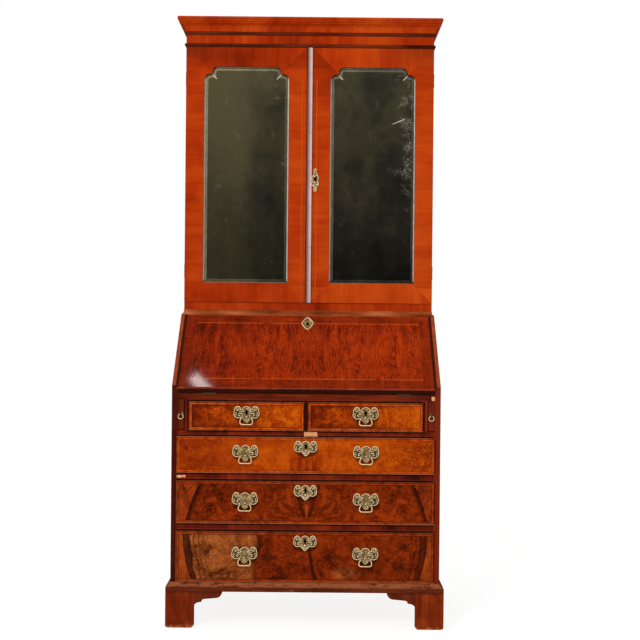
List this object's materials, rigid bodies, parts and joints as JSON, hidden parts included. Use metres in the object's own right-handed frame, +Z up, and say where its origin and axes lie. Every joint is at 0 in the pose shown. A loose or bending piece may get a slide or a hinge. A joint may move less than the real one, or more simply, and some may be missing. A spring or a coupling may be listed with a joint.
{
  "type": "bureau bookcase",
  "caption": "Walnut fall-front bureau on bracket feet with drawers and lopers, under a bookcase with mirrored doors and a moulded cornice.",
  "frame": {"origin": "on the floor, under the middle of the piece's box", "axes": "+Z up, +X to the right seen from the front, +Y to the back"},
  "size_m": [0.944, 0.5494, 2.1051],
  "materials": {
    "carcass_walnut": "french polished",
    "worn_moulding": "worn polish",
    "carcass_oak": "bare wood",
    "bookcase_walnut": "french polished",
    "door_veneer": "french polished",
    "old_mirror": "foxed silvering",
    "strip_walnut": "high polish",
    "fall_veneer": "french polished",
    "interior_walnut": "waxed",
    "drawer_veneer": "french polished",
    "drawer_lining": "bare oak",
    "old_brass": "aged, lacquer worn"
  },
  "bodies": {
    "case": {"bureau_sides": "carcass_walnut", "bureau_top": "carcass_walnut", "bureau_bottom": "carcass_oak", "bureau_backboards": "carcass_oak", "writing_bed": "carcass_walnut", "drawer_rails": "carcass_walnut", "drawer_dividers": "carcass_walnut", "base_moulding": "worn_moulding", "bracket_feet": "carcass_walnut", "pigeonholes": "interior_walnut", "bookcase_sides": "bookcase_walnut", "bookcase_ends": "carcass_oak", "bookcase_backboards": "carcass_oak", "bookcase_shelves": "carcass_oak", "bookcase_front_rails": "bookcase_walnut", "waist_moulding": "worn_moulding", "frieze_beads": "bookcase_walnut", "cornice_moulding": "bookcase_walnut", "case_hinge_leaves": "old_brass"},
    "door_left": {"door_left_frame": "door_veneer", "door_left_mirror": "old_mirror", "door_left_hinge_leaves": "old_brass"},
    "door_right": {"door_right_frame": "door_veneer", "door_right_mirror": "old_mirror", "door_right_brasses": "old_brass", "door_meeting_strip": "strip_walnut"},
    "fall": {"fall_board": "fall_veneer", "fall_brasses": "old_brass"},
    "loper_left": {"loper_left": "carcass_walnut", "loper_rosette_left": "old_brass"},
    "loper_ring_left": {"loper_ring_left": "old_brass"},
    "loper_right": {"loper_right": "carcass_walnut", "loper_rosette_right": "old_brass"},
    "loper_ring_right": {"loper_ring_right": "old_brass"},
    "half_drawer_left": {"half_drawer_left_front": "drawer_veneer", "half_drawer_left_box": "drawer_lining", "half_drawer_left_brasses": "old_brass"},
    "half_drawer_left_bail": {"half_drawer_left_bail": "old_brass"},
    "half_drawer_right": {"half_drawer_right_front": "drawer_veneer", "half_drawer_right_box": "drawer_lining", "half_drawer_right_brasses": "old_brass"},
    "half_drawer_right_bail": {"half_drawer_right_bail": "old_brass"},
    "lower_drawer": {"lower_drawer_front": "drawer_veneer", "lower_drawer_box": "drawer_lining", "lower_drawer_brasses": "old_brass"},
    "lower_drawer_bail_left": {"lower_drawer_bail_left": "old_brass"},
    "lower_drawer_bail_right": {"lower_drawer_bail_right": "old_brass"},
    "middle_drawer": {"middle_drawer_front": "drawer_veneer", "middle_drawer_box": "drawer_lining", "middle_drawer_brasses": "old_brass"},
    "middle_drawer_bail_left": {"middle_drawer_bail_left": "old_brass"},
    "middle_drawer_bail_right": {"middle_drawer_bail_right": "old_brass"},
    "upper_drawer": {"upper_drawer_front": "drawer_veneer", "upper_drawer_box": "drawer_lining", "upper_drawer_brasses": "old_brass"},
    "upper_drawer_bail_left": {"upper_drawer_bail_left": "old_brass"},
    "upper_drawer_bail_right": {"upper_drawer_bail_right": "old_brass"},
    "small_drawer_1": {"small_drawer_1": "interior_walnut"},
    "small_drawer_2": {"small_drawer_2": "interior_walnut"},
    "small_drawer_3": {"small_drawer_3": "interior_walnut"}
  },
  "joints": [
    {"name": "door_left_hinge", "type": "hinge", "parent": "case", "child": "door_left", "pos_m": [-0.443, 0.02755, 1.546], "axis": [0, 0, -1], "range_deg": [0, 160]},
    {"name": "door_right_hinge", "type": "hinge", "parent": "case", "child": "door_right", "pos_m": [0.443, 0.02755, 1.546], "axis": [0, 0, 1], "range_deg": [0, 160]},
    {"name": "fall_hinge", "type": "hinge", "parent": "case", "child": "fall", "pos_m": [0, -0.25025, 0.781], "axis": [1, 0, 0], "range_deg": [0, 134.75]},
    {"name": "loper_left_slide", "type": "slide", "parent": "case", "child": "loper_left", "axis": [0, -1, 0], "range_m": [0, 0.3]},
    {"name": "loper_ring_left_swing", "type": "hinge", "parent": "loper_left", "child": "loper_ring_left", "pos_m": [-0.4193, -0.25485, 0.71203], "axis": [-1, 0, 0], "range_deg": [0, 90]},
    {"name": "loper_right_slide", "type": "slide", "parent": "case", "child": "loper_right", "axis": [0, -1, 0], "range_m": [0, 0.3]},
    {"name": "loper_ring_right_swing", "type": "hinge", "parent": "loper_right", "child": "loper_ring_right", "pos_m": [0.4193, -0.25485, 0.71203], "axis": [-1, 0, 0], "range_deg": [0, 90]},
    {"name": "half_drawer_left_slide", "type": "slide", "parent": "case", "child": "half_drawer_left", "axis": [0, -1, 0], "range_m": [0, 0.36]},
    {"name": "half_drawer_left_bail_swing", "type": "hinge", "parent": "half_drawer_left", "child": "half_drawer_left_bail", "pos_m": [-0.199, -0.26575, 0.7005], "axis": [-1, 0, 0], "range_deg": [0, 110]},
    {"name": "half_drawer_right_slide", "type": "slide", "parent": "case", "child": "half_drawer_right", "axis": [0, -1, 0], "range_m": [0, 0.36]},
    {"name": "half_drawer_right_bail_swing", "type": "hinge", "parent": "half_drawer_right", "child": "half_drawer_right_bail", "pos_m": [0.199, -0.26575, 0.7005], "axis": [-1, 0, 0], "range_deg": [0, 110]},
    {"name": "lower_drawer_slide", "type": "slide", "parent": "case", "child": "lower_drawer", "axis": [0, -1, 0], "range_m": [0, 0.38]},
    {"name": "lower_drawer_bail_left_swing", "type": "hinge", "parent": "lower_drawer", "child": "lower_drawer_bail_left", "pos_m": [-0.202, -0.26575, 0.23025], "axis": [-1, 0, 0], "range_deg": [0, 110]},
    {"name": "lower_drawer_bail_right_swing", "type": "hinge", "parent": "lower_drawer", "child": "lower_drawer_bail_right", "pos_m": [0.202, -0.26575, 0.23025], "axis": [-1, 0, 0], "range_deg": [0, 110]},
    {"name": "middle_drawer_slide", "type": "slide", "parent": "case", "child": "middle_drawer", "axis": [0, -1, 0], "range_m": [0, 0.38]},
    {"name": "middle_drawer_bail_left_swing", "type": "hinge", "parent": "middle_drawer", "child": "middle_drawer_bail_left", "pos_m": [-0.202, -0.26575, 0.4125], "axis": [-1, 0, 0], "range_deg": [0, 110]},
    {"name": "middle_drawer_bail_right_swing", "type": "hinge", "parent": "middle_drawer", "child": "middle_drawer_bail_right", "pos_m": [0.202, -0.26575, 0.4125], "axis": [-1, 0, 0], "range_deg": [0, 110]},
    {"name": "upper_drawer_slide", "type": "slide", "parent": "case", "child": "upper_drawer", "axis": [0, -1, 0], "range_m": [0, 0.38]},
    {"name": "upper_drawer_bail_left_swing", "type": "hinge", "parent": "upper_drawer", "child": "upper_drawer_bail_left", "pos_m": [-0.202, -0.26575, 0.57075], "axis": [-1, 0, 0], "range_deg": [0, 110]},
    {"name": "upper_drawer_bail_right_swing", "type": "hinge", "parent": "upper_drawer", "child": "upper_drawer_bail_right", "pos_m": [0.202, -0.26575, 0.57075], "axis": [-1, 0, 0], "range_deg": [0, 110]},
    {"name": "small_drawer_1_slide", "type": "slide", "parent": "case", "child": "small_drawer_1", "axis": [0, -1, 0], "range_m": [0, 0.17]},
    {"name": "small_drawer_2_slide", "type": "slide", "parent": "case", "child": "small_drawer_2", "axis": [0, -1, 0], "range_m": [0, 0.17]},
    {"name": "small_drawer_3_slide", "type": "slide", "parent": "case", "child": "small_drawer_3", "axis": [0, -1, 0], "range_m": [0, 0.17]}
  ]
}
